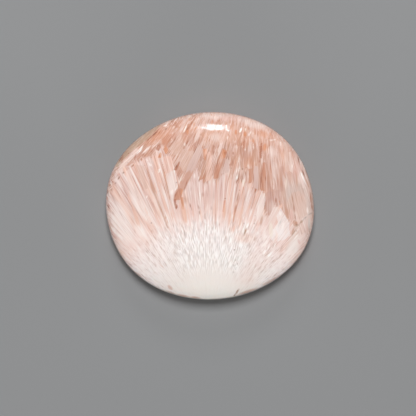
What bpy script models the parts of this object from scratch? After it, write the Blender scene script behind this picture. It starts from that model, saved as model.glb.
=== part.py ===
"""A scolecite cabochon: one polished oval stone with a flat back, a low girdle and a domed face.

The stone lies on its flat back, with the dome along +Z. The origin is on the back, under the middle of
the outline. +X runs along the stone's longer side and +Y towards the peach end of the crystals.
Sizes are in metres and angles in degrees.
"""

import math

import bmesh
import bpy
from mathutils import Vector

WIDTH = 0.0400
LENGTH = 0.0360
HEIGHT = 0.0090

# The back's edge is bevelled so that it doesn't chip, and the girdle leans in above it for a bezel to hold.
BEVEL_INSET = 0.0006
BEVEL_HEIGHT = 0.0005
GIRDLE_TOP = 0.0019
GIRDLE_LEAN = 0.00015
EDGE_ROUNDING = 0.00018
EDGE_STEPS = 3

# A dome fuller than an ellipse, whose exponent is 2: a flatter face and a rounder shoulder.
DOME_FULLNESS = 2.15

# The outline was ground by eye. Each lobe swells the ellipse: how many there are around the stone,
# their height as a share of the radius, and where the first one lies, anticlockwise from +X.
OUTLINE_LOBES = (
    (2, 0.0022, 45.0),
    (3, 0.0029, -44.0),
    (4, 0.0086, -32.0),
    (6, 0.0023, -19.0),
)

# The dome's mesh is a rounded square of small cells on the crown, and rings from it out to the girdle,
# so that it has no pole. The rounding goes from 0, a square, to 0.5, a circle.
CORE_CELLS = 24
CORE_REACH = 0.42
CORE_ROUNDING = 0.28
DOME_RINGS = 12

STONE_COLOUR = (0.80, 0.58, 0.48, 1.0)
STONE_ROUGHNESS = 0.12
SHARP_ANGLE = 40.0


def clear_scene():
    for leftover in list(bpy.data.objects):
        bpy.data.objects.remove(leftover)


def lobed_radius(angle):
    """The outline's radius at an angle, as a share of the ellipse's."""
    return 1.0 + sum(
        height * math.cos(count * (angle - math.radians(first)))
        for count, height, first in OUTLINE_LOBES
    )


def outline_point(angle):
    """A point of the outline before it is fitted to WIDTH and LENGTH, on a circle of radius about 1."""
    return Vector((math.cos(angle), math.sin(angle))) * lobed_radius(angle)


def outline_box(samples=720):
    """The middle and the half sizes of the outline as it is before fitting."""
    points = [outline_point(math.tau * n / samples) for n in range(samples)]
    low = Vector([min(point[axis] for point in points) for axis in range(2)])
    high = Vector([max(point[axis] for point in points) for axis in range(2)])
    return (low + high) / 2, (high - low) / 2


def dome_section(reach):
    """The dome's section at a share of the way from the crown to the girdle: (radius, height), each 0 to 1."""
    turn = reach * math.pi / 2
    return math.sin(turn) ** (2 / DOME_FULLNESS), math.cos(turn) ** (2 / DOME_FULLNESS)


def open_edges(items):
    return [item for item in items if isinstance(item, bmesh.types.BMEdge) and item.is_boundary]


def drawn_on(mesh, edges):
    """Extrudes an open loop of edges in place, and returns the new loop and its points."""
    made = bmesh.ops.extrude_edge_only(mesh, edges=edges)["geom"]
    return open_edges(made), [item for item in made if isinstance(item, bmesh.types.BMVert)]


def flat_disc(mesh):
    """A disc of radius 1 made of quads. A point's distance from the middle is its reach over the dome."""
    bmesh.ops.create_grid(mesh, x_segments=CORE_CELLS, y_segments=CORE_CELLS, size=1.0)
    for vertex in mesh.verts:
        across = math.tan(vertex.co.x * math.pi / 4)
        along = math.tan(vertex.co.y * math.pi / 4)
        vertex.co = (
            CORE_REACH * across * math.sqrt(1 - CORE_ROUNDING * along**2),
            CORE_REACH * along * math.sqrt(1 - CORE_ROUNDING * across**2),
            0.0,
        )
    edges = open_edges(mesh.edges)
    for rings_left in range(DOME_RINGS, 0, -1):
        edges, ring = drawn_on(mesh, edges)
        for vertex in ring:
            reach = vertex.co.length
            vertex.co *= (reach + (1 - reach) / rings_left) / reach
    return edges


def raise_dome(mesh):
    """Lifts the flat disc into the dome, fitted to the outline at the girdle's top."""
    middle, half = outline_box()
    for vertex in mesh.verts:
        radius, height = dome_section(min(1.0, vertex.co.length))
        outline = outline_point(math.atan2(vertex.co.y, vertex.co.x))
        vertex.co = (
            radius * (outline.x - middle.x) / half.x * (WIDTH / 2 - GIRDLE_LEAN),
            radius * (outline.y - middle.y) / half.y * (LENGTH / 2 - GIRDLE_LEAN),
            GIRDLE_TOP + height * (HEIGHT - GIRDLE_TOP),
        )


def rounded_corner(before, corner, after):
    """The points of a small round where two straight runs of the section meet at corner."""
    start = corner + (before - corner).normalized() * EDGE_ROUNDING
    end = corner + (after - corner).normalized() * EDGE_ROUNDING
    points = []
    for n in range(EDGE_STEPS + 1):
        share = n / EDGE_STEPS
        points.append(start.lerp(corner, share).lerp(corner.lerp(end, share), share))
    return points


def edge_section():
    """The section below the dome, from the girdle's top to the back: (inset from the outline, height)."""
    girdle_top = Vector((GIRDLE_LEAN, GIRDLE_TOP))
    widest = Vector((0.0, BEVEL_HEIGHT))
    back_edge = Vector((BEVEL_INSET, 0.0))
    on_the_back = Vector((2 * BEVEL_INSET, 0.0))
    return [
        girdle_top,
        *rounded_corner(girdle_top, widest, back_edge),
        *rounded_corner(widest, back_edge, on_the_back),
    ]


def draw_girdle_down(mesh, edges):
    """Draws the dome's open edge down the girdle and the bevel, and returns the open edge at the back."""
    section = edge_section()
    for above, below in zip(section, section[1:]):
        edges, ring = drawn_on(mesh, edges)
        narrower = (
            (WIDTH / 2 - below.x) / (WIDTH / 2 - above.x),
            (LENGTH / 2 - below.x) / (LENGTH / 2 - above.x),
            1.0,
        )
        bmesh.ops.scale(mesh, vec=narrower, verts=ring)
        bmesh.ops.translate(mesh, vec=(0.0, 0.0, below.y - above.y), verts=ring)
    return edges


def stone_material():
    material = bpy.data.materials.new("polished_scolecite")
    material.use_nodes = True
    shader = material.node_tree.nodes["Principled BSDF"]
    shader.inputs["Base Color"].default_value = STONE_COLOUR
    shader.inputs["Roughness"].default_value = STONE_ROUGHNESS
    shader.inputs["Metallic"].default_value = 0.0
    return material


def build_cabochon():
    mesh = bmesh.new()
    girdle = flat_disc(mesh)
    raise_dome(mesh)
    back_edge = draw_girdle_down(mesh, girdle)
    bmesh.ops.contextual_create(mesh, geom=back_edge)
    bmesh.ops.recalc_face_normals(mesh, faces=mesh.faces)
    data = bpy.data.meshes.new("cabochon")
    mesh.to_mesh(data)
    mesh.free()
    data.materials.append(stone_material())
    data.shade_smooth()
    data.set_sharp_from_angle(angle=math.radians(SHARP_ANGLE))
    cabochon = bpy.data.objects.new("cabochon", data)
    bpy.context.scene.collection.objects.link(cabochon)


clear_scene()
build_cabochon()
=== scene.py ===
"""A scolecite cabochon on a pale floor, seen from straight above."""

import math

import bmesh
import bpy
import numpy as np
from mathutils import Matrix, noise


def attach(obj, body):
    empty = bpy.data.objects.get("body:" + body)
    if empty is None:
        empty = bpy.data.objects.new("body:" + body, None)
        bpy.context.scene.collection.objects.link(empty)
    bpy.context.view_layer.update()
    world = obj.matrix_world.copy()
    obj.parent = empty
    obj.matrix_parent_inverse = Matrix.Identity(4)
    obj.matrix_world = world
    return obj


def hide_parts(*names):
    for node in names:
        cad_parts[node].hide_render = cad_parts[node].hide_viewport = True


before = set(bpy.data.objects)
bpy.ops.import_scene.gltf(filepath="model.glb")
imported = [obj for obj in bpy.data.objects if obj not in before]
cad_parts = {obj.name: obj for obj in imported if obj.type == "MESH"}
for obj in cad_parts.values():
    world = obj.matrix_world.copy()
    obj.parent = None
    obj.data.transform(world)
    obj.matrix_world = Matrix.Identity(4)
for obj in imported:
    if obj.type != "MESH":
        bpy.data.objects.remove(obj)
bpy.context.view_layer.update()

# The stone
# One piece of massive scolecite, in which two sprays of crystal fibres have grown into each other.
# It was sawn flat, ground by eye to a domed oval and polished all over, and its back edge was
# bevelled so that it doesn't chip.

WELD = 1e-6
QUAD_ANGLE = math.radians(60)
FACING_DOWN = -0.999
BACK_MARGIN = 0.0012
BACK_SPAN = 24
SMOOTH_LEVELS = 2
POLISH_WAVE_SIZE = 0.0022
POLISH_WAVE_DEPTH = 0.00003

rough_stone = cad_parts["cabochon"]
stone = bpy.data.objects.new("polished_stone", rough_stone.data.copy())
bpy.context.scene.collection.objects.link(stone)
bpy.ops.object.select_all(action="DESELECT")
bpy.context.view_layer.objects.active = stone
stone.select_set(True)
bpy.ops.mesh.customdata_custom_splitnormals_clear()

bpy.ops.object.mode_set(mode="EDIT")
bpy.ops.mesh.select_mode(type="FACE")
bpy.ops.mesh.select_all(action="SELECT")
bpy.ops.mesh.remove_doubles(threshold=WELD)
bpy.ops.mesh.tris_convert_to_quads(face_threshold=QUAD_ANGLE, shape_threshold=QUAD_ANGLE)

# The back is dissolved to one face, and filled again with an even grid inside a narrow margin.
bpy.ops.mesh.select_all(action="DESELECT")
edit_mesh = bmesh.from_edit_mesh(stone.data)
for face in edit_mesh.faces:
    face.select_set(face.normal.z < FACING_DOWN and face.calc_center_median().z < WELD)
bmesh.update_edit_mesh(stone.data)
bpy.ops.mesh.dissolve_faces()
bpy.ops.mesh.inset(thickness=BACK_MARGIN)
bpy.ops.mesh.delete(type="ONLY_FACE")
bpy.ops.mesh.select_mode(type="EDGE")
bpy.ops.mesh.select_all(action="DESELECT")
edit_mesh = bmesh.from_edit_mesh(stone.data)
for edge in edit_mesh.edges:
    edge.select_set(edge.is_boundary)
bmesh.update_edit_mesh(stone.data)
bpy.ops.mesh.fill_grid(span=BACK_SPAN)
bpy.ops.mesh.select_all(action="SELECT")
bpy.ops.mesh.normals_make_consistent(inside=False)
bpy.ops.object.mode_set(mode="OBJECT")

smoothing = stone.modifiers.new("smoothing", "SUBSURF")
smoothing.levels = SMOOTH_LEVELS
smoothing.render_levels = SMOOTH_LEVELS
bpy.ops.object.modifier_apply(modifier=smoothing.name)

# The wheel leaves the softer fibres a few hundredths of a millimetre low, so the polish isn't dead even.
polish_waves = bpy.data.textures.new("polish_waves", "CLOUDS")
polish_waves.noise_scale = POLISH_WAVE_SIZE
waves = stone.modifiers.new("waves", "DISPLACE")
waves.texture = polish_waves
waves.texture_coords = "LOCAL"
waves.mid_level = 1.0
waves.strength = POLISH_WAVE_DEPTH
bpy.ops.object.modifier_apply(modifier=waves.name)
bpy.ops.object.shade_smooth()


def colour(red, green, blue):
    """A colour as a screen shows it, 0 to 255, in the linear values that a shader takes."""
    return tuple(((level / 255 + 0.055) / 1.055) ** 2.4 for level in (red, green, blue)) + (1.0,)


# The tints of single crystals and stains, as they look in white light, and of the painted shade of the rim.
WHITE = colour(246, 236, 231)
CREAM = colour(236, 222, 210)
PALE = colour(230, 208, 200)
PINK = colour(222, 184, 175)
CORAL = colour(218, 156, 136)
PEACH = colour(228, 182, 160)
ORANGE = colour(208, 144, 110)
TAN = colour(198, 154, 134)
BROWN = colour(172, 116, 94)
DARK = colour(138, 90, 70)
MAUVE = colour(190, 150, 139)
GREY = colour(204, 194, 188)
# OLIVE serves both the real olive stains and the painted shade of the steep upper-left shoulder.
OLIVE = colour(180, 150, 128)
LILAC = colour(212, 182, 173)
SAND = colour(214, 181, 167)
CLAY = colour(198, 143, 119)
# RIM is painted shade: the darker brown of the steep rim at the sides and bottom.
RUST = colour(172, 104, 74)
RIM = colour(184, 146, 128)
BRIGHT = colour(254, 250, 247)
BLUSH = colour(232, 194, 179)
FROST = colour(238, 229, 227)
GREY_BROWN = colour(168, 150, 141)

# The single crystals and stains that stand out, with painted shade along the steep rim and a painted
# reflection along the far rim, each layer over the one before: its name, colour and strength, and its shapes
# in millimetres,
# +X right and +Y up. A facet is a list of its corners. Any other shape is two end points and a width: zones
# are wide and soft, blades blunt, and needles drawn out.
LAYERS = [
    ("tan_zones", TAN, 0.55, [
        (-4.8, 2.0, -5.0, 0.0, 2.2), (-18.9, 6.2, -15.0, 11.6, 2.6), (-16.4, 10.4, -9.8, 15.4, 2.6),
        (9.0, 2.6, 9.2, 11.4, 2.8), (-7.5, 9.5, -4.5, 12.8, 3.6), (15.4, 10.8, 15.6, 6.6, 2.2),
        (3.0, 9.8, 10.6, 8.6, 3.8), (-14.4, 9.6, -9.8, 13.2, 1.5), (-7.0, 13.0, -5.6, 11.4, 1.6),
        (-9.6, 14.8, -8.4, 15.6, 1.4), (13.5, 7.8, 13.5, 4.4, 1.6),
    ]),
    ("orange_zones", ORANGE, 0.45, [
        (-12.5, 11.5, -6.5, 15.5, 4.0), (-6.0, 12.0, -2.5, 15.0, 3.4), (10.4, 10.0, 10.6, 12.2, 1.6),
        (8.6, 14.1, 11.6, 12.9, 1.7), (3.2, 7.4, 9.9, 8.6, 4.8),
    ]),
    ("peach_zones", PEACH, 0.35, [
        (-9.0, 13.4, 13.5, 13.4, 5.5), (14.1, 7.4, 13.9, 12.2, 2.0), (5.5, 0.5, 5.3, -5.5, 2.6),
        (-5.3, 0.8, -4.7, -4.2, 1.9), (7.6, 6.8, 7.4, 1.6, 1.6), (10.5, 4.6, 10.6, 0.6, 1.4),
        (2.7, 1.6, 2.6, -3.0, 1.4), (3.4, -5.8, 9.6, -6.4, 3.2), (-6.4, 3.8, -5.4, -0.5, 2.2),
        (4.6, -3.0, 4.0, -5.8, 1.8), (16.2, -6.8, 17.0, -8.6, 1.8),
    ]),
    ("pink_zones", PINK, 0.45, [
        # The first row, along the far rim, is partly the stone's pink and partly a painted reflection on the
        # shoulder.
        (-3.5, 16.9, 10.0, 16.4, 2.0), (15.6, 10.0, 17.0, 4.0, 3.0), (-15.8, -6.4, -14.0, -8.2, 1.4),
        (16.5, -6.0, 17.5, -8.6, 2.2), (-6.5, 4.6, -5.6, -3.5, 2.4), (-4.4, 2.6, 4.8, 2.4, 5.0),
        (-17.0, -0.6, -15.9, -5.2, 1.8), (-3.2, 3.6, -2.7, -4.2, 3.0),
    ]),
    ("mauve_zones", MAUVE, 0.40, [
        (6.5, 7.4, 6.6, 11.4, 2.4), (11.3, -1.6, 11.3, 5.4, 1.8), (-6.0, 15.4, -1.6, 10.8, 3.4),
    ]),
    ("grey_zones", GREY, 0.45, [
        (15.4, 6.5, 15.4, -2.5, 5.0), (18.3, 3.6, 18.5, -5.0, 3.4), (16.8, -4.6, 15.2, -9.6, 3.4),
        (16.8, 6.6, 17.4, 0.0, 3.2),
    ]),
    ("pale_zones", PALE, 0.60, [
        # Of these, the rows at (4.0, 16.8) and (-2.5, 17.0) along the far rim are partly a painted reflection
        # on the shoulder.
        (-15.9, 4.4, -12.8, -2.0, 1.6), (8.7, 4.2, 8.7, 7.9, 1.1), (11.8, 8.6, 12.0, 11.6, 1.7),
        (18.0, 5.0, 16.6, -11.0, 5.5), (4.0, 16.8, 13.0, 14.2, 2.4), (3.3, 5.2, 3.2, 8.4, 1.3),
        (6.0, 4.6, 5.8, 9.8, 1.5), (-0.5, 13.2, 2.8, 12.6, 2.6), (-2.5, 17.0, 4.0, 17.0, 1.8),
        (16.9, 6.4, 17.2, 3.6, 1.8), (18.0, 4.0, 17.6, -7.0, 3.8), (9.4, 1.4, 9.0, -3.4, 2.6),
        (11.6, 1.5, 11.6, -2.0, 2.0),
    ]),
    ("white_zones", WHITE, 0.62, [
        (9.8, 2.2, 9.0, -3.6, 1.8), (-18.8, 0.5, -17.4, -6.5, 2.2), (-7.5, 7.2, -7.1, 1.2, 1.6),
        (-18.8, 3.5, -14.2, -10.5, 5.8), (-15.0, -2.0, -11.5, -7.5, 3.0), (17.4, -4.6, 14.0, -11.5, 3.6),
        (-15.6, 3.8, -10.2, -4.8, 3.4), (12.6, -3.0, 13.6, -7.0, 3.6), (10.9, -3.4, 10.2, -7.4, 1.8),
        (-8.9, -0.4, -7.6, -5.0, 2.6),
    ]),
    # Painted shade: the steep upper-left shoulder, painted a darker olive than the face.
    ("olive_facets", OLIVE, 0.80, [
        [(-17.5, 7.2), (-16.6, 8.5), (-15.6, 9.5), (-14.4, 10.6), (-12.9, 11.7), (-11.9, 12.5),
         (-10.4, 14.1), (-9.2, 15.3), (-11.0, 16.0), (-13.5, 15.0), (-16.0, 13.0), (-17.8, 10.8),
         (-19.0, 8.0)],
    ]),
    ("sand_facets", SAND, 0.60, [
        [(-5.1, 6.3), (-6.1, 8.4), (-5.9, 9.6), (-4.9, 10.4), (-2.9, 10.3), (-3.0, 8.9), (-4.3, 6.7)],
        [(-14.3, 7.8), (-12.6, 7.6), (-12.2, 5.2), (-11.6, 3.2), (-12.6, 3.0), (-13.5, 4.8)],
        [(-7.9, 10.9), (-6.2, 13.3), (-5.4, 13.6), (-5.0, 12.0), (-5.0, 10.4), (-6.0, 9.4), (-7.0, 9.5)],
        [(14.3, 0.0), (15.4, 2.4), (17.0, 2.8), (18.3, 1.0), (18.6, -1.5), (17.6, -2.4), (16.6, -2.7),
         (16.2, -1.0)],
        [(14.2, 6.4), (14.95, 6.3), (14.9, 8.5), (14.8, 12.0), (14.0, 12.0), (14.1, 8.0)],
        [(15.0, -2.6), (15.9, -2.6), (15.8, 0.4), (15.2, 2.0), (14.6, 0.0)],
    ]),
    ("blush_facets", BLUSH, 0.55, [
        [(-8.9, 9.4), (-7.2, 9.3), (-6.8, 7.0), (-7.9, 5.6), (-8.3, 4.2), (-8.7, 6.2)],
        [(-10.4, 9.6), (-9.9, 9.0), (-9.2, 5.5), (-9.0, 4.0), (-9.8, 4.5), (-10.4, 6.5)],
        [(-0.8, 4.5), (0.4, 4.9), (0.5, 7.2), (0.2, 10.2), (-0.5, 10.2), (-0.8, 7.4)],
    ]),
    ("pale_facets", PALE, 0.65, [
        [(-17.3, 7.0), (-16.4, 8.6), (-15.7, 9.0), (-15.1, 9.9), (-14.0, 11.0), (-13.4, 10.6), (-14.6, 8.9),
         (-16.0, 7.6), (-16.8, 6.3), (-17.9, 5.9), (-18.2, 6.2)],
        [(-16.0, 6.6), (-15.3, 7.0), (-14.3, 4.5), (-13.2, 2.0), (-12.1, -0.5), (-11.4, -2.5),
         (-12.6, -1.5), (-14.0, 1.0), (-15.3, 3.6), (-15.9, 5.2)],
        [(-11.2, 7.0), (-10.9, 7.0), (-10.2, 4.5), (-9.4, 2.0), (-9.2, 0.3), (-9.7, 0.9), (-10.2, 3.0),
         (-10.9, 5.2)],
        [(-8.35, 6.0), (-6.7, 6.8), (-6.3, 5.2), (-6.3, 4.3), (-6.85, 1.3), (-7.2, 1.15), (-7.75, 2.2),
         (-8.2, 4.3)],
        [(15.0, 6.6), (15.7, 6.0), (15.9, 8.0), (15.3, 10.3), (14.95, 10.2)],
        [(11.9, -0.3), (13.3, -0.1), (12.6, -2.0), (11.9, -4.5), (10.6, -6.0), (10.4, -5.0), (11.2, -2.3)],
        [(-3.1, 11.8), (-2.7, 12.0), (-2.1, 13.0), (-1.8, 14.2), (-2.0, 15.0), (-2.3, 14.2), (-2.9, 12.8)],
        [(1.45, 9.8), (1.7, 10.1), (2.1, 11.0), (2.5, 12.0), (2.05, 12.0), (1.6, 11.2), (1.35, 10.3)],
        [(9.6, 2.3), (10.4, 2.5), (10.25, 1.0), (10.2, -0.5), (9.9, -3.0), (9.0, -3.4), (9.2, 0.0)],
    ]),
    ("lilac_facets", LILAC, 0.88, [
        [(-6.9, 1.2), (-6.5, 2.2), (-6.0, 3.3), (-5.2, 4.7), (-4.8, 5.9), (-4.3, 7.4), (-3.6, 8.9),
         (-2.9, 10.3), (-1.9, 11.6), (-1.35, 10.7), (-1.6, 9.6), (-2.2, 8.3), (-3.0, 6.8), (-3.8, 5.3),
         (-4.5, 4.2), (-5.2, 2.9), (-5.3, 1.7), (-5.8, 1.0)],
        [(8.35, 3.2), (9.15, 3.0), (9.2, 6.0), (9.1, 7.2), (8.6, 7.7), (8.2, 6.6), (8.2, 4.2)],
        [(2.0, 6.0), (3.6, 6.2), (3.7, 8.4), (3.3, 9.2), (2.9, 8.6), (2.5, 7.4)],
        [(-6.25, 1.1), (-5.9, 1.2), (-5.85, 0.3), (-6.1, 0.2)],
    ]),
    ("white_facets", WHITE, 0.75, [
        [(-9.95, 7.0), (-9.4, 7.0), (-9.45, 6.0), (-9.85, 6.1)],
        [(5.5, 13.8), (5.95, 13.9), (6.15, 14.9), (5.75, 14.7)],
    ]),
    ("frost_facets", FROST, 0.60, [
        [(13.3, -0.1), (13.9, -1.3), (14.7, -2.6), (15.1, -3.3), (15.0, -4.4), (15.3, -5.6), (14.3, -6.4),
         (12.6, -6.9), (12.9, -5.4), (12.3, -4.4), (12.8, -3.2), (12.5, -1.9), (13.0, -1.0)],
        [(11.6, -4.6), (12.2, -4.2), (12.5, -5.6), (12.0, -7.2), (11.5, -6.2)],
    ]),
    ("mauve_facets", MAUVE, 0.36, [
        [(10.4, 2.4), (11.0, 2.8), (11.9, 2.6), (11.9, 0.0), (11.7, -1.0), (11.3, -1.95), (10.9, -1.9),
         (10.5, -0.8), (10.2, 0.4)],
        [(12.1, 0.1), (13.1, 0.05), (13.45, 0.4), (13.45, 1.2), (13.2, 3.0), (12.3, 3.0), (12.05, 1.5)],
        [(-14.9, 8.0), (-14.2, 9.4), (-13.2, 10.7), (-12.6, 10.4), (-13.4, 8.8), (-14.2, 7.9)],
        [(13.1, 2.7), (13.9, 2.7), (14.0, 5.0), (13.95, 7.5), (13.3, 7.5), (13.15, 5.0)],
    ]),
    ("clay_facets", CLAY, 0.88, [
        [(-6.9, 0.9), (-6.5, 2.3), (-6.1, 3.0), (-5.6, 3.4), (-5.2, 3.0), (-5.3, 1.7), (-5.6, 1.0),
         (-6.2, 1.0)],
        [(-2.2, 4.7), (-0.85, 4.95), (-0.95, 6.0), (-1.1, 7.4), (-1.6, 6.4), (-2.0, 5.4)],
        [(0.6, 5.0), (1.55, 5.0), (1.75, 6.2), (2.3, 7.6), (2.75, 9.0), (3.3, 10.3), (2.3, 11.0),
         (1.9, 10.0), (1.3, 8.3), (0.8, 6.8)],
        [(7.2, 4.1), (7.9, 4.3), (8.05, 5.6), (8.1, 7.0), (7.2, 7.0), (7.3, 5.5)],
        [(9.45, 2.8), (10.45, 2.7), (10.6, 5.0), (10.6, 8.2), (9.9, 8.2), (9.7, 5.0)],
        [(-9.2, 12.1), (-8.2, 13.4), (-7.0, 13.6), (-7.6, 12.3), (-8.1, 11.4), (-8.6, 10.8), (-8.8, 11.2)],
        [(5.1, 11.2), (5.7, 11.2), (5.9, 12.8), (6.1, 14.2), (5.8, 13.9), (5.5, 12.8), (5.1, 12.2)],
        [(6.2, 11.0), (6.6, 11.0), (6.75, 12.7), (6.45, 12.9), (6.15, 11.8)],
        [(16.1, -2.9), (16.6, -3.0), (16.65, -3.7), (16.3, -4.0), (16.05, -3.6)],
        [(-4.85, 13.7), (-4.2, 15.2), (-3.4, 16.3), (-3.1, 16.0), (-3.9, 14.4), (-4.0, 13.4), (-4.7, 13.4)],
    ]),
    ("tan_facets", TAN, 0.72, [
        [(-12.15, 7.3), (-11.8, 7.2), (-10.6, 3.8), (-9.6, 1.0), (-8.75, -1.4), (-7.7, -4.4), (-8.1, -4.4),
         (-9.2, -1.5), (-10.1, 0.9), (-11.25, 3.9)],
        [(-9.2, 8.2), (-8.85, 8.1), (-8.05, 4.2), (-7.35, 1.0), (-7.7, 1.0), (-8.45, 4.1)],
    ]),
    ("orange_facets", ORANGE, 0.75, [
        [(-5.7, 1.7), (-5.0, 1.5), (-4.9, 0.0), (-5.0, -1.1), (-5.4, -0.6), (-5.5, 0.3)],
        [(-1.35, 10.8), (-0.5, 10.8), (-0.6, 9.6), (-0.8, 8.4), (-1.2, 8.6)],
        [(1.9, 8.7), (2.9, 8.9), (3.3, 10.4), (2.4, 10.8)],
        [(4.7, 13.4), (5.2, 13.4), (5.15, 14.4), (4.7, 14.4)],
        [(6.3, 13.1), (6.95, 13.1), (6.95, 14.1), (6.3, 14.1)],
        [(11.15, 13.2), (11.7, 13.3), (11.4, 14.3)],
        [(-8.6, 9.8), (-8.05, 9.7), (-7.9, 10.6), (-8.3, 11.5), (-8.7, 10.9)],
        [(-9.9, 9.2), (-9.4, 10.1), (-9.1, 9.9), (-9.1, 8.9), (-9.8, 8.95)],
    ]),
    ("rust_facets", RUST, 0.65, [
        [(2.6, 9.5), (3.15, 9.6), (3.25, 10.3), (2.7, 10.3)],
        [(9.35, 8.9), (9.85, 8.9), (9.95, 10.5), (9.95, 12.0), (9.6, 11.9), (9.3, 10.0)],
        [(-10.4, 10.7), (-9.9, 11.4), (-9.4, 12.1), (-9.3, 11.0), (-9.7, 10.2)],
        [(-6.9, 6.7), (-6.2, 6.5), (-5.6, 8.1), (-5.85, 8.5), (-6.5, 7.6)],
        [(-19.9, 3.9), (-19.6, 3.8), (-19.2, 2.6), (-19.5, 2.2), (-19.8, 2.9)],
        [(-6.9, 1.2), (-6.4, 1.3), (-6.35, 0.4), (-6.05, 0.0), (-6.15, -0.5), (-6.5, -0.6), (-6.75, 0.1)],
    ]),
    ("tan_blades", TAN, 0.75, [
        (3.4, 10.2, 3.5, 11.6, 0.45), (4.15, 7.4, 4.4, 9.4, 0.5), (8.35, 8.2, 8.5, 11.0, 0.7),
    ]),
    ("coral_blades", CORAL, 0.60, [
        (2.8, 1.1, 2.5, -1.3, 0.45),
    ]),
    ("pale_blades", PALE, 0.70, [
        (12.0, 3.0, 12.05, 8.4, 0.34), (17.7, 3.2, 17.3, 6.4, 0.5),
    ]),
    ("clay_needles", CLAY, 0.60, [
        (-6.9, 0.8, -3.6, 6.9, 1.5), (-6.8, 0.9, -5.1, 4.0, 0.9), (-5.2, 2.6, -2.6, 7.6, 0.5),
    ]),
    ("white_needles", WHITE, 0.62, [
        (-5.0, 13.8, -4.3, 15.3, 0.3), (-7.0, 15.9, -6.2, 16.6, 0.3), (-4.9, 10.9, -4.55, 12.2, 0.26),
        (7.3, 13.1, 7.9, 14.5, 0.4), (3.2, 12.4, 3.5, 13.4, 0.36), (11.3, 12.2, 12.9, 12.7, 0.36),
        (13.4, 11.2, 13.4, 12.4, 0.34), (18.4, -0.1, 18.6, -1.7, 0.5), (-8.9, 15.0, -7.9, 15.5, 0.26),
        (-12.2, 10.0, -11.0, 11.6, 0.26), (-13.0, 9.4, -11.5, 11.4, 0.24), (-14.3, 9.2, -12.6, 11.7, 0.42),
        (-12.1, 9.3, -11.6, 8.2, 0.34), (-11.7, 8.5, -11.2, 7.2, 0.34), (-11.2, 8.0, -10.9, 7.0, 0.3),
        (-8.6, 14.8, -8.1, 15.5, 0.28), (-4.9, 11.1, -4.8, 12.1, 0.34), (5.65, 13.8, 6.0, 14.8, 0.3),
        (7.35, 13.0, 7.4, 13.8, 0.35), (6.6, 10.2, 6.6, 11.1, 0.3), (8.2, 10.4, 8.2, 12.0, 0.4),
        (5.7, 9.9, 5.15, 7.2, 0.36), (5.2, 7.4, 4.95, 5.8, 0.36), (5.05, 5.7, 4.9, 4.6, 0.5),
        (7.2, 6.9, 7.2, 8.1, 0.3), (11.0, 12.5, 12.1, 12.3, 0.4), (-12.1, 1.2, -11.8, 2.0, 0.5),
        (-12.7, -1.0, -11.8, -3.1, 0.4), (-19.0, -3.8, -17.5, -5.6, 0.6), (-18.0, -4.8, -16.2, -6.8, 0.5),
        (-5.9, 4.2, -6.7, 2.6, 0.4), (-7.5, 3.1, -7.45, 2.0, 0.4), (-7.0, 3.3, -7.15, 1.9, 0.45),
        (-6.75, 6.1, -6.7, 6.8, 0.4), (-3.1, 7.0, -2.7, 4.4, 0.28), (-2.2, 3.5, -1.7, 1.0, 0.38),
        (-1.0, 4.2, -0.95, 2.1, 0.24), (4.4, -1.2, 4.15, -2.6, 0.3), (8.0, -0.1, 7.3, -2.5, 0.5),
        (7.3, -2.6, 7.2, -4.2, 0.45), (6.6, -3.6, 6.2, -5.2, 0.45), (13.3, -0.8, 13.3, -2.2, 0.55),
        (16.8, -5.3, 15.8, -6.5, 0.45), (12.2, -8.2, 10.5, -10.5, 0.42), (10.7, -7.8, 9.9, -10.0, 0.42),
        (11.1, -6.3, 9.9, -8.0, 0.55), (12.4, -6.0, 11.5, -7.4, 0.36), (-10.0, -5.0, -9.3, -6.6, 0.5),
        (-9.5, -6.1, -8.9, -7.5, 0.6), (14.0, -2.8, 13.6, -4.6, 0.6),
    ]),
    ("bright_needles", BRIGHT, 0.80, [
        (11.4, -7.3, 10.8, -8.6, 0.38), (12.0, -9.2, 11.2, -10.4, 0.38), (11.9, -8.4, 10.6, -10.2, 0.42),
        (10.8, -7.7, 9.9, -9.6, 0.38), (12.6, -6.9, 11.7, -8.1, 0.38), (7.3, -3.0, 6.7, -4.6, 0.42),
        (6.6, -4.6, 6.1, -5.6, 0.38), (-5.1, 13.7, -4.3, 15.2, 0.38), (5.85, 13.9, 6.1, 14.9, 0.38),
        (5.0, 4.2, 5.2, 6.4, 0.38), (5.4, 6.2, 5.6, 7.6, 0.38), (-13.6, 9.9, -12.6, 11.4, 0.38),
        (17.1, 6.8, 18.3, 3.6, 0.38),
    ]),
    ("cream_needles", CREAM, 0.75, [
        (-9.75, 6.1, -9.65, 7.0, 0.55), (-5.0, 6.3, -5.95, 3.9, 0.32), (14.35, 2.8, 14.5, 6.0, 0.42),
        (15.6, 7.0, 15.6, 7.9, 0.28), (10.35, 2.6, 10.05, 1.2, 0.32), (11.4, -2.8, 11.6, -6.4, 0.9),
        (-4.3, 16.6, -3.4, 17.2, 0.3), (6.35, 3.3, 6.3, 5.2, 0.6), (-5.25, 13.6, -4.3, 15.3, 0.22),
        (6.75, 14.1, 6.75, 14.9, 0.26), (17.6, 8.0, 18.3, 6.4, 0.3),
    ]),
    ("tan_needles", TAN, 0.70, [
        (-12.15, 7.6, -11.1, 4.0, 0.5), (-11.5, 5.4, -10.2, 1.5, 0.8), (-10.5, 2.8, -9.45, -0.3, 0.5),
        (-9.7, 0.4, -8.95, -1.6, 0.34), (-9.15, 7.8, -8.3, 4.2, 0.42), (-8.45, 5.0, -7.85, 2.4, 0.36),
        (-9.1, 4.8, -8.15, 1.8, 0.26), (16.5, 2.8, 16.4, 6.7, 0.42), (18.1, 5.4, 19.0, 3.0, 0.42),
        (19.4, -0.7, 19.6, -3.0, 0.34), (4.8, -1.2, 4.25, -3.6, 0.4), (14.2, 0.0, 14.8, -2.8, 0.7),
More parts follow.
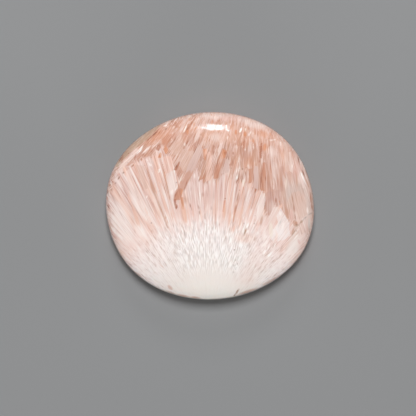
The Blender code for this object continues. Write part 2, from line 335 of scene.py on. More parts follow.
        (7.0, -4.0, 6.2, -6.1, 0.32), (-2.15, 6.2, -1.85, 8.4, 0.36), (-1.7, 4.6, -0.9, 8.2, 0.7),
        (7.9, 4.1, 7.7, 8.2, 0.34), (13.4, 2.8, 13.45, 6.3, 0.5), (-19.4, -3.2, -18.5, -5.4, 0.4),
        (-5.6, 12.0, -4.9, 14.2, 0.3), (5.8, 13.2, 5.5, 10.8, 0.6), (16.0, -2.6, 16.2, -4.0, 0.95),
        (16.0, -3.8, 15.4, -6.0, 0.5), (9.9, -1.6, 9.5, -4.2, 0.6), (5.8, 8.8, 6.2, 6.4, 0.6),
        (1.2, 7.8, 1.8, 9.8, 0.5),
    ]),
    ("peach_needles", PEACH, 0.60, [
        (-15.0, 0.5, -13.0, -4.6, 0.7), (-5.2, 0.2, -4.4, -3.6, 0.8), (6.7, 3.6, 5.3, -4.8, 0.5),
        (2.8, 0.8, 2.6, -3.2, 0.6), (-1.9, 0.0, -1.5, -3.4, 0.42), (3.9, -0.6, 3.5, -4.4, 0.6),
        (-10.9, 6.0, -9.6, 0.4, 0.42), (-3.4, 1.0, -3.0, -3.4, 0.4), (0.7, 1.0, 0.7, -3.0, 0.4),
        (8.2, 2.6, 6.8, -2.4, 0.42), (-7.9, 0.6, -6.6, -4.0, 0.42), (6.6, 2.8, 6.2, -0.2, 0.45),
        (6.3, 0.8, 5.85, -2.2, 0.5), (5.9, -1.6, 5.5, -4.4, 0.5), (-12.5, 0.1, -11.6, -2.1, 0.36),
        (-14.4, -1.6, -13.5, -4.2, 0.5), (-4.8, 0.4, -4.5, -2.2, 0.5), (4.8, -3.0, 4.3, -5.4, 0.4),
        (-0.7, 9.3, -0.7, 10.9, 0.6), (7.8, 12.0, 7.8, 12.6, 0.5),
    ]),
    ("pink_needles", PINK, 0.60, [
        (-18.7, -4.7, -17.6, -6.6, 0.6), (16.6, -6.3, 17.2, -7.4, 0.6), (8.8, 0.2, 8.6, -2.0, 0.38),
        (15.4, -0.3, 15.4, -3.2, 0.8), (-8.0, -15.0, -7.1, -16.1, 0.5), (11.0, -14.6, 12.8, -13.5, 0.36),
    ]),
    ("orange_needles", ORANGE, 0.80, [
        (-9.25, 9.0, -7.9, 3.2, 0.38), (-8.9, -0.6, -7.6, -4.4, 0.38), (5.0, 1.6, 4.2, -4.2, 0.38),
        (-9.5, 8.9, -9.45, 10.0, 0.6), (-8.8, 11.3, -8.3, 9.6, 0.26), (-8.35, 9.6, -7.95, 10.7, 0.22),
        (-3.05, 14.0, -2.4, 15.3, 0.42), (-4.3, 13.2, -4.2, 14.9, 0.5), (-3.2, 15.0, -2.9, 16.0, 0.4),
        (4.9, 13.3, 4.9, 14.3, 0.5), (6.65, 13.1, 6.65, 14.1, 0.5), (8.2, 11.9, 8.2, 12.8, 0.5),
        (10.2, 10.2, 10.4, 11.9, 0.7), (-19.85, 4.0, -19.5, 2.7, 0.42), (-5.7, 1.4, -5.1, 3.4, 0.42),
        (0.2, 17.0, 0.3, 17.5, 0.4), (13.1, 0.4, 13.15, 1.1, 0.32),
    ]),
    ("brown_needles", BROWN, 0.80, [
        (-12.2, 12.0, -11.1, 13.2, 0.42), (-11.1, 13.1, -9.4, 14.9, 0.4), (-7.7, 15.7, -6.4, 16.7, 0.36),
        (-8.75, 14.1, -8.0, 15.0, 0.34), (-8.0, 10.8, -7.2, 11.9, 0.3), (-1.95, 8.0, -1.5, 10.0, 0.26),
        (-9.5, 11.9, -10.3, 10.6, 0.22), (-9.4, 11.0, -9.9, 10.3, 0.18), (-14.5, 8.3, -13.9, 9.9, 0.26),
        (-13.0, 9.1, -12.3, 10.2, 0.26), (-4.85, 13.7, -3.65, 15.3, 0.24), (-3.8, 15.1, -3.2, 16.2, 0.24),
        (-7.65, 11.2, -6.95, 12.2, 0.24), (-7.05, 11.9, -6.25, 13.3, 0.24), (-4.5, 11.1, -4.1, 12.7, 0.24),
        (-2.5, 11.2, -1.85, 13.3, 0.26), (6.2, 14.7, 5.7, 12.5, 0.3), (6.5, 12.9, 6.3, 10.9, 0.24),
        (9.75, 12.3, 9.55, 8.5, 0.4), (9.35, 8.7, 9.3, 7.9, 0.3), (4.4, 9.5, 4.4, 10.3, 0.3),
        (4.2, 7.2, 4.2, 9.1, 0.3), (3.75, 7.4, 3.75, 8.0, 0.34), (6.75, 6.9, 6.6, 4.9, 0.36),
        (0.6, 9.3, 0.6, 10.7, 0.2), (16.0, 11.2, 16.65, 9.5, 0.32), (19.0, 2.8, 19.3, 0.0, 0.34),
        (19.3, 0.6, 19.45, -1.1, 0.3), (15.4, 2.7, 15.85, -0.2, 0.32), (15.8, 0.8, 16.05, -1.8, 0.34),
        (16.0, -1.2, 16.25, -3.1, 0.34), (9.6, 2.8, 9.9, 7.8, 0.42), (10.45, 4.2, 10.45, 5.8, 0.26),
        (-6.7, 1.4, -6.55, -0.2, 0.4), (-6.35, -0.7, -6.35, 0.1, 0.55), (0.7, 5.4, 1.95, 10.2, 0.3),
        (-5.2, 2.0, -4.05, 5.4, 0.24), (-6.9, 1.0, -5.9, 3.4, 0.24), (-2.1, 4.4, -2.05, 5.1, 0.34),
        (-1.35, 1.4, -1.35, 2.8, 0.28), (-2.3, 0.4, -2.0, -1.0, 0.24), (-2.1, -0.7, -1.85, -2.0, 0.24),
        (-3.95, 0.7, -3.35, -1.2, 0.28), (5.1, 0.8, 4.6, -2.1, 0.34), (5.4, 2.8, 5.0, 0.3, 0.24),
        (-17.0, 7.9, -16.4, 9.8, 0.4), (-19.8, -2.0, -19.4, -3.5, 0.4), (-20.0, 1.3, -19.7, 0.0, 0.45),
        (12.45, 0.3, 12.45, 1.6, 0.45), (-19.95, -0.5, -19.75, -2.3, 0.34),
    ]),
    ("mauve_needles", MAUVE, 0.48, [
        (7.45, 8.6, 7.45, 10.7, 0.36), (-19.2, 3.2, -17.3, -1.0, 0.34), (-18.1, 0.6, -15.7, -3.6, 0.36),
        (-17.1, 5.4, -15.2, 0.2, 0.36), (-16.0, 1.8, -13.9, -1.9, 0.3), (-18.2, 4.2, -16.6, 0.6, 0.26),
        (-14.6, 4.0, -12.9, -0.2, 0.26), (-13.6, 6.0, -12.2, 1.6, 0.28), (-0.8, 3.3, -0.4, 1.1, 0.26),
        (0.2, 0.2, 0.25, -1.0, 0.26), (-3.65, 3.8, -3.45, 2.2, 0.2), (0.65, 3.7, 0.7, 0.3, 0.32),
        (-6.0, 4.6, -5.7, 6.2, 0.6), (12.25, -6.9, 11.75, -8.2, 0.3), (11.6, -7.4, 10.7, -9.2, 0.3),
        (-14.65, -4.2, -13.9, -5.3, 0.22), (-14.3, -12.4, -12.7, -13.8, 0.18), (-4.9, 3.0, -4.6, 0.6, 0.4),
        (-17.95, 5.2, -17.35, 6.0, 0.26), (-18.8, -0.8, -18.0, -2.2, 0.3), (14.9, -2.4, 14.9, -3.5, 0.26),
    ]),
    ("grey_needles", GREY, 0.70, [
        (13.9, -2.0, 12.6, -4.5, 0.26), (-6.05, 1.35, -5.95, 0.2, 0.32), (18.8, -2.2, 18.9, -5.2, 0.6),
    ]),
    ("dark_needles", DARK, 0.80, [
        (-11.95, 12.2, -9.25, 14.95, 0.22), (-17.5, 8.1, -16.5, 9.8, 0.26), (16.6, 9.9, 17.05, 7.6, 0.34),
        (17.4, 7.0, 18.1, 5.2, 0.36), (-17.1, 5.6, -17.5, 4.8, 0.34), (-6.4, 6.9, -6.2, 7.9, 0.4),
        (-19.65, 3.1, -19.3, 2.2, 0.32), (-19.7, 0.3, -19.0, -0.8, 0.24), (5.5, -15.6, 4.9, -16.8, 0.2),
        (5.0, -16.5, 4.4, -17.6, 0.26), (16.4, -3.3, 16.4, -3.9, 0.4), (-9.6, 2.6, -9.6, 2.9, 0.2),
    ]),
    ("olive_stains", OLIVE, 0.80, [
        (6.95, -4.0, 6.2, -6.1, 0.46), (15.9, -4.1, 17.2, -3.4, 0.42), (16.9, -3.5, 17.8, -2.6, 0.5),
        (16.6, -4.0, 15.2, -6.1, 0.38), (5.7, -15.6, 4.7, -17.2, 0.42),
    ]),
    ("sand_stains", SAND, 0.65, [
        (-9.8, -10.7, -8.4, -12.2, 0.4), (-8.1, -15.1, -7.1, -16.1, 0.7), (-8.2, -16.3, -6.2, -17.1, 0.5),
        (-6.6, -16.9, -3.6, -17.5, 0.5), (-3.8, -17.3, -1.6, -17.6, 0.4), (5.0, -17.0, 9.2, -15.7, 0.5),
    ]),
    # Painted shade: a darker brown band along the steep rim at the sides and bottom, where the edge looks
    # darker.
    ("rim_zones", RIM, 0.65, [
        (-20.1, 5.0, -20.2, -2.4, 1.0), (-20.2, 0.5, -19.5, -6.0, 0.9), (-19.9, -3.6, -18.3, -8.4, 0.8),
        (-9.4, -16.0, -5.4, -17.5, 1.0), (-7.4, -16.9, -3.2, -17.7, 1.1), (-4.8, -17.4, -0.8, -17.9, 0.9),
        (4.0, -17.6, 10.2, -15.6, 1.4), (9.0, -15.8, 14.2, -12.9, 0.9), (19.3, 4.6, 19.9, -2.4, 1.0),
        (17.9, 8.4, 19.5, 2.8, 0.9),
    ]),
    ("grey_specks", GREY_BROWN, 0.60, [
        (4.95, -10.0, 4.75, -10.6, 0.4), (4.4, -11.0, 4.6, -11.6, 0.4), (5.0, -11.6, 4.7, -12.2, 0.4),
        (4.5, -12.3, 4.4, -12.9, 0.4), (5.3, -10.8, 5.1, -11.3, 0.38), (-1.6, -6.6, -1.7, -7.2, 0.38),
        (-5.8, -8.0, -5.6, -8.5, 0.38), (4.55, -8.2, 4.55, -8.7, 0.4), (17.6, -2.8, 18.5, -1.9, 0.38),
        (18.5, -1.9, 19.7, -1.2, 0.38),
    ]),
    ("specks", DARK, 0.60, [
        (-14.75, 9.5, -14.75, 9.9, 0.4), (-15.5, 9.77, -15.5, 10.13, 0.36),
        (-15.4, 7.42, -15.4, 7.78, 0.36), (-15.6, 7.92, -15.6, 8.28, 0.36),
        (-16.4, 5.94, -16.4, 6.46, 0.52), (-12.36, 7.48, -12.36, 7.88, 0.4),
        (-1.75, 13.25, -1.75, 13.65, 0.4), (-1.2, 8.62, -1.2, 8.98, 0.36), (6.1, 6.66, 6.1, 7.14, 0.48),
        (6.85, 7.0, 6.85, 7.4, 0.4), (4.0, 6.85, 4.0, 7.25, 0.4), (2.85, 1.13, 2.85, 1.57, 0.44),
        (5.5, 2.75, 5.5, 3.15, 0.4), (-6.3, 4.13, -6.3, 4.57, 0.44), (-17.9, 4.08, -17.9, 4.52, 0.44),
        (16.4, -4.98, 16.4, -4.62, 0.36), (8.55, -2.13, 8.55, -1.77, 0.36), (8.3, -3.62, 8.3, -3.18, 0.44),
        (6.4, -3.62, 6.4, -3.18, 0.44), (-11.05, -3.52, -11.05, -3.08, 0.44),
        (-11.05, -4.98, -11.05, -4.62, 0.36), (4.6, -8.58, 4.6, -8.22, 0.36), (-8.4, 14.3, -8.4, 14.7, 0.4),
    ]),
]

# Each layer becomes a number at each point of the surface: how far the point is inside the layer's nearest
# shape, in millimetres, with points outside below 0. A zone's number is its share instead, from 0 to 1.
# The shapes' ends fray along the fibres, their sides wobble a little, and they close on the steep side.
MM = 1000.0
FRAY = 0.30
WOBBLE = 0.08
THINNEST = 0.19
OUTSIDE, INSIDE = -0.4, 1.0
DIP_START = 2.8
DIP = 0.5
TORN = {"zones": 0.0, "stains": 0.15, "facets": 0.4, "blades": 0.4, "needles": 0.5, "specks": 0.4}
points = np.empty(3 * len(stone.data.vertices))
stone.data.vertices.foreach_get("co", points)
point_x, point_y, point_z = points.reshape(-1, 3).T * MM
dip = np.maximum(DIP_START - point_z, 0.0)


def wander(times_x, times_y, start):
    """A number from -1 to 1 that changes smoothly over the surface, so many times to the millimetre."""
    places = zip(times_x * point_x, times_y * point_y, start + dip)
    return np.array([noise.noise(place) for place in places])


fray = wander(2.6, 0.3, 5.0)
wobble = wander(1.5, 0.4, 9.0)


def inside_facet(corners, at_x, at_y):
    """How far each point is inside the shape with these corners, in millimetres; below 0 outside."""
    nearest = np.full(len(at_x), np.inf)
    crossings = np.zeros(len(at_x), dtype=int)
    for (first_x, first_y), (next_x, next_y) in zip(corners, corners[1:] + corners[:1]):
        side_x, side_y = next_x - first_x, next_y - first_y
        from_x, from_y = at_x - first_x, at_y - first_y
        share = np.clip((from_x * side_x + from_y * side_y) / (side_x**2 + side_y**2), 0.0, 1.0)
        nearest = np.minimum(nearest, np.hypot(from_x - share * side_x, from_y - share * side_y))
        if side_y:
            level = (from_y >= 0) != (at_y >= next_y)
            crossings += level & (from_x < from_y * side_x / side_y)
    return np.where(crossings % 2 == 1, nearest, -nearest)


def inside_streak(row, kind, at_x, at_y):
    """The same for a shape with two end points and a width; a zone gives its share."""
    start_x, start_y, end_x, end_y, width = row
    length = math.hypot(end_x - start_x, end_y - start_y)
    along_x, along_y = (end_x - start_x) / length, (end_y - start_y) / length
    from_x = at_x - (start_x + end_x) / 2
    from_y = at_y - (start_y + end_y) / 2
    side = np.abs(from_x * along_y - from_y * along_x)
    end = np.abs(from_x * along_x + from_y * along_y)
    half_width, half_length = max(width / 2, THINNEST), length / 2
    if kind == "blades":
        return np.minimum(half_width - side, half_length - end)
    share = 1 - np.hypot(side / half_width, end / half_length)
    return share if kind == "zones" else half_width * share


for layer, tint, strength, shapes in LAYERS:
    kind = layer.split("_")[-1]
    at_x = point_x + TORN[kind] * WOBBLE * wobble
    at_y = point_y + TORN[kind] * FRAY * fray
    field = np.full(len(point_x), OUTSIDE)
    for shape in shapes:
        if kind == "facets":
            inside = inside_facet(shape, at_x, at_y)
        else:
            inside = inside_streak(shape, kind, at_x, at_y)
        field = np.maximum(field, inside)
    field = np.clip(field - DIP * dip, OUTSIDE, INSIDE)
    attribute = stone.data.attributes.new(layer, "FLOAT", "POINT")
    attribute.data.foreach_set("value", field)

material = bpy.data.materials.new("polished_scolecite")
material.use_nodes = True
stone.data.materials.clear()
stone.data.materials.append(material)


class Shade:
    """A socket of the stone's material. Sums written with it add Math nodes."""

    tree = material.node_tree

    def __init__(self, socket):
        self.socket = socket

    @classmethod
    def node(cls, kind, settings, inputs, output=0):
        """Adds a node, makes its settings, fills its sockets with values or links, and gives one output."""
        node = cls.tree.nodes.new(kind)
        for name, value in settings.items():
            if name == "stops":
                cls.set_stops(node.color_ramp.elements, value)
            else:
                setattr(node, name, value)
        for name, value in inputs.items():
            if isinstance(value, Shade):
                cls.tree.links.new(value.socket, node.inputs[name])
            else:
                node.inputs[name].default_value = value
        return cls(node.outputs[output])

    @staticmethod
    def set_stops(elements, stops):
        """Gives a new ramp these stops, each (place, colour)."""
        while len(elements) < len(stops):
            elements.new(1.0)
        for element, (place, tint) in zip(elements, stops):
            element.position = place
            element.color = tint

    @classmethod
    def math(cls, operation, *values):
        return cls.node("ShaderNodeMath", {"operation": operation}, dict(enumerate(values)))

    def __add__(self, other):
        return Shade.math("ADD", self, other)

    def __sub__(self, other):
        return Shade.math("SUBTRACT", self, other)

    def __rsub__(self, other):
        return Shade.math("SUBTRACT", other, self)

    def __mul__(self, other):
        return Shade.math("MULTIPLY", self, other)

    def __truediv__(self, other):
        return Shade.math("DIVIDE", self, other)

    __radd__ = __add__
    __rmul__ = __mul__


def vector(x, y, z):
    return Shade.node("ShaderNodeCombineXYZ", {}, {0: x, 1: y, 2: z})


def parts(value):
    """The three numbers of a vector."""
    split = Shade.node("ShaderNodeSeparateXYZ", {}, {0: value}).socket.node
    return [Shade(socket) for socket in split.outputs]


def fade(value, start, end, low=0.0, high=1.0):
    """Goes smoothly from low to high while value goes from start to end."""
    settings = {"interpolation_type": "SMOOTHSTEP"}
    return Shade.node("ShaderNodeMapRange", settings, {0: value, 1: start, 2: end, 3: low, 4: high})


def between(share, first, second):
    """The first number where share is 0, and the second where it is 1."""
    return first + (second - first) * share


def blend(share, first, second, way="MIX"):
    """The first colour where share is 0, and the second where it is 1."""
    settings = {"data_type": "RGBA", "blend_type": way}
    return Shade.node("ShaderNodeMix", settings, {0: share, 6: first, 7: second}, 2)


def grain(place, detail=2.0):
    return Shade.node("ShaderNodeTexNoise", {}, {"Vector": place, "Scale": 1.0, "Detail": detail})


def cells(place):
    """Three numbers from 0 to 1 for each crystal of a closely packed pattern."""
    inputs = {"Vector": place, "Scale": 1.0}
    return parts(Shade.node("ShaderNodeTexVoronoi", {}, inputs, "Color"))


def ramp(value, *stops):
    """Goes through the stops' colours, each (place, colour), as value goes from 0 to 1."""
    return Shade.node("ShaderNodeValToRGB", {"stops": stops}, {0: value})


# Places in the stone, in millimetres. Down the steep side the pattern also changes with depth.
SHOULDER = 4.4
DEPTH_SHARE = 0.42
here = Shade.node("ShaderNodeTexCoord", {}, {}, "Object")
x, y, z = [part * MM for part in parts(here)]
below = Shade.math("MAXIMUM", SHOULDER - z, 0.0) * DEPTH_SHARE

# The lower spray. Its fibres fan up from a point a little outside the stone, grainy near that root and
# clean further out.
LOWER_FOCUS_Y = -23.7
GRAINY_REACH, CLEAN_REACH = 18.5, 25.0
fan_y = y - LOWER_FOCUS_Y
turn = Shade.math("ARCTAN2", x, fan_y)
reach = Shade.math("SQRT", x * x + fan_y * fan_y)
near = fade(reach, CLEAN_REACH, GRAINY_REACH)


def fanned(per_radian, per_reach, per_depth):
    """The place for a pattern that changes so many times to a radian, a millimetre outwards and one down."""
    return vector(turn * per_radian, reach * per_reach, below * per_depth)


fibres = grain(fanned(115, 0.17, 2.5), 3.0)
strokes = grain(fanned(72, 0.70, 2.5))
lower_fine = between(near, fibres, strokes)
lower_bands = grain(fanned(26, 0.06, 1.2))
lower_blades = cells(fanned(42, 0.09, 1.1))
lower_needles = cells(fanned(115, 0.20, 2.2))
dashes = grain(fanned(80, 0.66, 2.5), 1.0)
warmth = grain(fanned(17, 0.05, 1.0))

# The upper spray. Its fibres stand upright at the right and lean over more and more to the left.
LEAN = 0.0343
UPRIGHT_X = 9.5
swell = Shade.math("EXPONENT", y * LEAN)
lean = (UPRIGHT_X - x) * LEAN
across = swell * Shade.math("SINE", lean) / LEAN
along = swell * Shade.math("COSINE", lean) / LEAN


def leaning(per_across, per_along, per_depth):
    """The same for the upper spray: changes to a millimetre across the fibres, along them and down."""
    return vector(across * per_across, along * per_along, below * per_depth)


upper_fine = grain(leaning(5.0, 0.25, 2.5))
upper_bands = grain(leaning(0.9, 0.12, 1.1))
upper_blades = cells(leaning(1.05, 0.14, 1.0))
upper_needles = cells(leaning(3.4, 0.22, 2.0))
flecks = cells(leaning(2.2, 0.8, 2.0))

# The front where the sprays meet: the lower one's reach in millimetres for the turn of its fibres from
# upright, in degrees. Each of its blades and needles ends a little before or after that front.
FRONT = [
    (-42.0, 33.0), (-35.0, 33.0), (-31.2, 34.7), (-25.8, 35.2), (-21.0, 35.0), (-17.2, 35.1), (-14.9, 36.2),
    (-14.3, 34.5), (-12.6, 33.9), (-12.1, 30.0), (-10.5, 27.5), (-7.5, 29.0), (-5.0, 30.6), (-2.7, 28.4),
    (0.8, 28.6), (3.4, 28.8), (3.8, 29.7), (6.4, 29.7), (7.3, 28.9), (11.0, 28.9), (12.6, 28.5), (15.9, 28.8),
    (16.8, 27.9), (19.8, 27.9), (21.7, 28.2), (23.6, 25.8), (24.4, 24.9), (26.9, 24.4), (27.4, 26.6),
    (29.5, 27.2), (32.4, 26.1), (39.6, 25.5),
]
TURN_SPAN = 45
REACH_START, REACH_SPAN = 20.0, 20.0
BLADE_STEP, NEEDLE_STEP = 1.0, 0.9
MEETING = (-0.35, 0.45)
front_stops = [
    ((degrees + TURN_SPAN) / (2 * TURN_SPAN), ((length - REACH_START) / REACH_SPAN,) * 3 + (1.0,))
    for degrees, length in FRONT
]
turn_share = turn * (math.degrees(1) / (2 * TURN_SPAN)) + 0.5
front = ramp(turn_share, *front_stops) * REACH_SPAN + REACH_START
front = front + (lower_blades[1] - 0.5) * BLADE_STEP + (lower_needles[1] - 0.5) * NEEDLE_STEP
share = fade(reach - front, *MEETING)

# The lower spray's colours, from its cream root outwards. At the right it has a rosy patch near the root.
COLOUR_REACH = 40.0
ROSE = colour(232, 208, 200)
ROSY_TURN = (0.36, 0.55, 0.64, 0.82)
ROSY_REACH = (9.0, 13.0, 17.0, 22.0)


def hump(value, start, full, waning, end):
    """Rises from 0 to 1 while value goes from start to full, and falls back from waning to end."""
    return fade(value, start, full) * fade(value, end, waning)


lower_base = ramp(
    reach / COLOUR_REACH,
    (0.20, colour(241, 234, 227)),
    (0.28, colour(238, 228, 222)),
    (0.37, colour(238, 228, 224)),
    (0.47, colour(238, 223, 219)),
    (0.56, colour(233, 206, 198)),
    (0.64, colour(222, 193, 184)),
    (0.72, colour(219, 189, 181)),
)
lower_base = blend(hump(turn, *ROSY_TURN) * hump(reach, *ROSY_REACH) * 0.45, lower_base, ROSE)

# Its single fibres are darker or lighter than that, least of all at the root and most at the sides.
CALM_REACH = (11.0, 20.5)
CALM_LEAST = 0.12
SIDES = (0.05, 0.30)
SIDES_REACH = 3.0
LIT_FIBRE = colour(254, 248, 244)
calm = fade(reach + fade(turn * turn, *SIDES) * SIDES_REACH, *CALM_REACH, CALM_LEAST, 1.0)
lower_tone = lower_fine * 1.15 + lower_bands * 0.35 + lower_blades[0] * 0.25 + lower_needles[0] * 0.35 - 0.55
lower_shadow = blend(near, colour(236, 212, 203), colour(228, 217, 212))
lower_dark = blend(1.0, lower_base, lower_shadow, "MULTIPLY")
lower_light = blend(0.42, lower_base, LIT_FIBRE)
lower_colour = blend(fade(lower_tone, 0.48, 0.12) * calm, lower_base, lower_dark)
lower_colour = blend(fade(lower_tone, 0.52, 0.85) * calm, lower_colour, lower_light)

# Away from the root, iron tints some of them salmon and leaves others a cool white.
COOL_FIBRE = colour(235, 219, 214)
WARM_FIBRE = colour(230, 182, 160)
WARM_BAND = colour(232, 188, 167)
WARM_REACH = (18.0, 23.0)
lower_hue = lower_blades[2] * 0.6 + lower_needles[2] * 0.4
lower_colour = blend(fade(lower_hue, 0.42, 0.18) * (1 - near) * 0.45, lower_colour, COOL_FIBRE)
lower_colour = blend(fade(lower_hue, 0.56, 0.84) * (1 - near) * 0.45, lower_colour, WARM_FIBRE)
lower_colour = blend(fade(warmth, 0.52, 0.68) * fade(reach, *WARM_REACH) * 0.45, lower_colour, WARM_BAND)

# Short white and grey dashes fill the belt between the root and the fibres, with a torn upper edge.
DASH_WHITE = colour(255, 252, 250)
DASH_GREY = colour(206, 197, 193)
DASHES_START = (9.5, 13.5)
DASHES_END = (22.4, 18.0)
DASHES_SIDES = (0.36, 0.06)
torn_reach = reach + (lower_blades[1] - 0.5) * 4.0 + (lower_needles[1] - 0.5) * 2.0
dashed = fade(reach, *DASHES_START) * fade(turn * turn, *DASHES_SIDES) * fade(torn_reach, *DASHES_END)
lower_colour = blend(fade(dashes, 0.46, 0.62) * dashed * 0.7, lower_colour, DASH_WHITE)
lower_colour = blend(fade(dashes, 0.52, 0.36) * dashed * 0.55, lower_colour, DASH_GREY)

# The upper spray's colours. Iron gives it its rose and tan, strongest in flecks along the far edge, and
# it is quieter low at the right and at the far rim.
QUIET_X, QUIET_Y = (9.5, 13.0), (13.5, 9.5)
RIM_X, RIM_Y, RIM_Z = (-4.0, 1.0), (7.0, 11.0), (5.2, 3.4)
QUIET_TONE = 0.62
FLECKED_Y = (8.0, 12.5)
COOL_BLADE = colour(216, 192, 184)
WARM_BLADE = colour(206, 150, 124)
upper_tone = upper_fine * 0.55 + upper_bands * 0.35 + upper_blades[0] * 0.45 + upper_needles[0] * 0.45 - 0.42
top_rim = fade(z, *RIM_Z) * fade(y, *RIM_Y) * fade(x, *RIM_X)
quiet = Shade.math("MAXIMUM", fade(x, *QUIET_X) * fade(y, *QUIET_Y) * 0.6, top_rim * 0.7)
upper_colour = ramp(
    between(quiet, upper_tone, QUIET_TONE),
    (0.05, colour(164, 109, 87)),
    (0.30, colour(195, 150, 132)),
    (0.58, colour(209, 172, 159)),
    (0.90, colour(234, 213, 205)),
)
fleck_colour = ramp(
    flecks[0],
    (0.00, colour(180, 121, 95)),
    (0.18, colour(204, 146, 120)),
    (0.40, colour(207, 167, 152)),
    (0.75, colour(218, 183, 170)),
    (1.00, colour(240, 220, 212)),
)
upper_colour = blend(fade(y, *FLECKED_Y) * 0.45, upper_colour, fleck_colour)
upper_hue = upper_blades[2] * 0.5 + upper_needles[2] * 0.5
upper_colour = blend(fade(upper_hue, 0.42, 0.18) * 0.35, upper_colour, COOL_BLADE)
upper_colour = blend(fade(upper_hue, 0.56, 0.84) * 0.35, upper_colour, WARM_BLADE)

# The single crystals and stains, with the painted rim shade and reflection, laid over both sprays. The
# fibres' grain makes their edges ragged.
ZONE_FULL = 0.8
EDGE_START = -0.02
BROAD_EDGE = (0.25, 0.10)
THIN_EDGE = (0.20, 0.14)
fine = between(share, lower_fine, upper_fine)
stone_colour = blend(share, lower_colour, upper_colour)
for layer, tint, strength, shapes in LAYERS:
    inside = Shade.node("ShaderNodeAttribute", {"attribute_name": layer}, {}, "Fac")
    if layer.endswith("zones"):
        mask = fade(inside, 0.0, ZONE_FULL, 0.0, strength)
    else:
        ragged, edge_end = BROAD_EDGE if layer.endswith(("blades", "facets")) else THIN_EDGE
        mask = fade(inside + (fine - 0.5) * ragged, EDGE_START, edge_end, 0.0, strength)
    stone_colour = blend(mask, stone_colour, tint)

# Fine lines run over everything but the calm root, and less over the clear lilac crystals.
CLEAR_EDGE = (0.0, 0.3)
CLEAR_LINES = (0.45, 0.15)
clear = Shade.node("ShaderNodeAttribute", {"attribute_name": "lilac_facets"}, {}, "Fac")
lined = between(share, calm, 1.0) * fade(clear, *CLEAR_EDGE, *CLEAR_LINES)
line_shadow = blend(near * (1 - share), colour(214, 190, 180), colour(226, 213, 207))
stone_colour = blend(fade(fine, 0.50, 0.25) * lined, stone_colour, line_shadow, "MULTIPLY")
stone_colour = blend(fade(fine, 0.52, 0.78) * lined, stone_colour, WHITE)

# A little light goes in and comes out again close by. The fibres stand up in the polish by about a
# hundredth of a millimetre, and take it unevenly.
REFRACTION = 1.51
LIGHT_INSIDE = 0.15
INSIDE_SPREAD = (1.0, 0.6, 0.45)
INSIDE_DEPTH = 0.0005
FIBRE_RELIEF = 0.000012
PIT_SHARE = 0.8
ROUGHNESS = (0.03, 0.07)
polish = material.node_tree.nodes["Principled BSDF"]
polish.inputs["IOR"].default_value = REFRACTION
polish.inputs["Subsurface Weight"].default_value = LIGHT_INSIDE
polish.inputs["Subsurface Radius"].default_value = INSIDE_SPREAD
polish.inputs["Subsurface Scale"].default_value = INSIDE_DEPTH
pits = grain(vector(x * 2.6, y * 2.2, below * 2.5), 1.0)
heights = {"Strength": 1.0, "Distance": FIBRE_RELIEF, "Height": fine + pits * PIT_SHARE}
relief = Shade.node("ShaderNodeBump", {}, heights, "Normal")
roughness = fade(fine, 0.35, 0.65, *ROUGHNESS)
material.node_tree.links.new(stone_colour.socket, polish.inputs["Base Color"])
material.node_tree.links.new(relief.socket, polish.inputs["Normal"])
material.node_tree.links.new(roughness.socket, polish.inputs["Roughness"])

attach(stone, "root")
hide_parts("cabochon")

# The floor
FLOOR_SIZE = 6.0
PAPER_GREY = colour(138, 139, 140)
PAPER_ROUGHNESS = 0.9
bpy.ops.mesh.primitive_plane_add(size=FLOOR_SIZE)
floor = bpy.context.object
floor.name = "floor"
paper = bpy.data.materials.new("pale_floor")
paper.use_nodes = True
matt = paper.node_tree.nodes["Principled BSDF"]
matt.inputs["Base Color"].default_value = PAPER_GREY
matt.inputs["Roughness"].default_value = PAPER_ROUGHNESS
matt.inputs["Specular IOR Level"].default_value = 0.0
floor.data.materials.append(paper)

# The light: a soft one from above and a little behind, fills low all round, and two bright windows beyond
# the far edge that show only as reflections in the polish.
WORLD_LIGHT = 0.09
SKY = (0.60, 0.88, 1.0)
world = bpy.data.worlds.new("studio")
bpy.context.scene.world = world
world.use_nodes = True
world.node_tree.nodes["Background"].inputs["Color"].default_value = (1, 1, 1, 1)
world.node_tree.nodes["Background"].inputs["Strength"].default_value = WORLD_LIGHT
bpy.context.scene.view_settings.view_transform = "Standard"


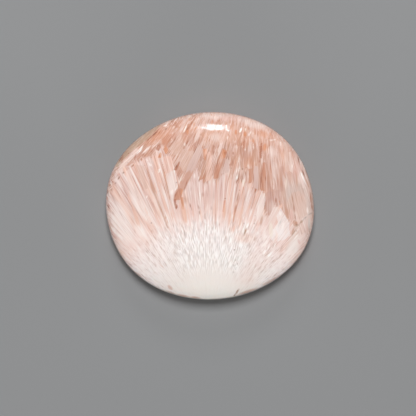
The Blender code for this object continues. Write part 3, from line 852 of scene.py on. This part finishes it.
def softbox(name, tilt, aside, size, glow, spin=0.0, window=False):
    """A rectangular light a metre off. It is tilted from overhead towards +Y, turned aside towards +X and
    spun about its own middle, in degrees. A window is seen only in the polish."""
    panel = bpy.data.lights.new(name, "AREA")
    panel.shape = "RECTANGLE"
    panel.size, panel.size_y = size
    panel.energy = glow * math.pi * size[0] * size[1]
    lamp = bpy.data.objects.new(name, panel)
    up, across = math.radians(tilt), math.radians(aside)
    lamp.location = (math.sin(across) * math.cos(up), math.sin(up), math.cos(across) * math.cos(up))
    lamp.rotation_mode = "ZXY"
    lamp.rotation_euler = (-up, across, math.radians(spin))
    lamp.visible_glossy = window
    lamp.visible_diffuse = not window
    if window:
        panel.color = SKY
    bpy.context.scene.collection.objects.link(lamp)


softbox("key", tilt=28, aside=0, size=(0.38, 0.38), glow=21.6)
softbox("back_fill", tilt=63, aside=0, size=(0.3, 0.2), glow=9.3)
softbox("front_fill", tilt=-84, aside=0, size=(0.9, 0.2), glow=11.5)
softbox("left_fill", tilt=0, aside=-84, size=(0.2, 0.9), glow=5.2)
softbox("right_fill", tilt=0, aside=84, size=(0.2, 0.9), glow=5.6)
softbox("window", tilt=63, aside=4.2, size=(0.088, 0.22), glow=38.0, spin=-9, window=True)
softbox("window_side", tilt=63.2, aside=-11.6, size=(0.014, 0.15), glow=60.0, spin=-3, window=True)

# The camera looks straight down. The scale, in metres to a pixel, holds at the height of the outline.
SCALE = 0.1907e-3
FRAME_PIXELS = 416
OUTLINE_HEIGHT = 0.002
CAMERA_X, CAMERA_Y = -0.00038, -0.00046
CAMERA_HEIGHT = 0.6
SENSOR = 36
NEAREST = 0.01
camera = bpy.data.objects.new("camera", bpy.data.cameras.new("camera"))
bpy.context.scene.collection.objects.link(camera)
camera.location = (CAMERA_X, CAMERA_Y, CAMERA_HEIGHT)
camera.data.sensor_width = SENSOR
camera.data.lens = SENSOR * (CAMERA_HEIGHT - OUTLINE_HEIGHT) / (FRAME_PIXELS * SCALE)
camera.data.clip_start = NEAREST
bpy.context.scene.camera = camera
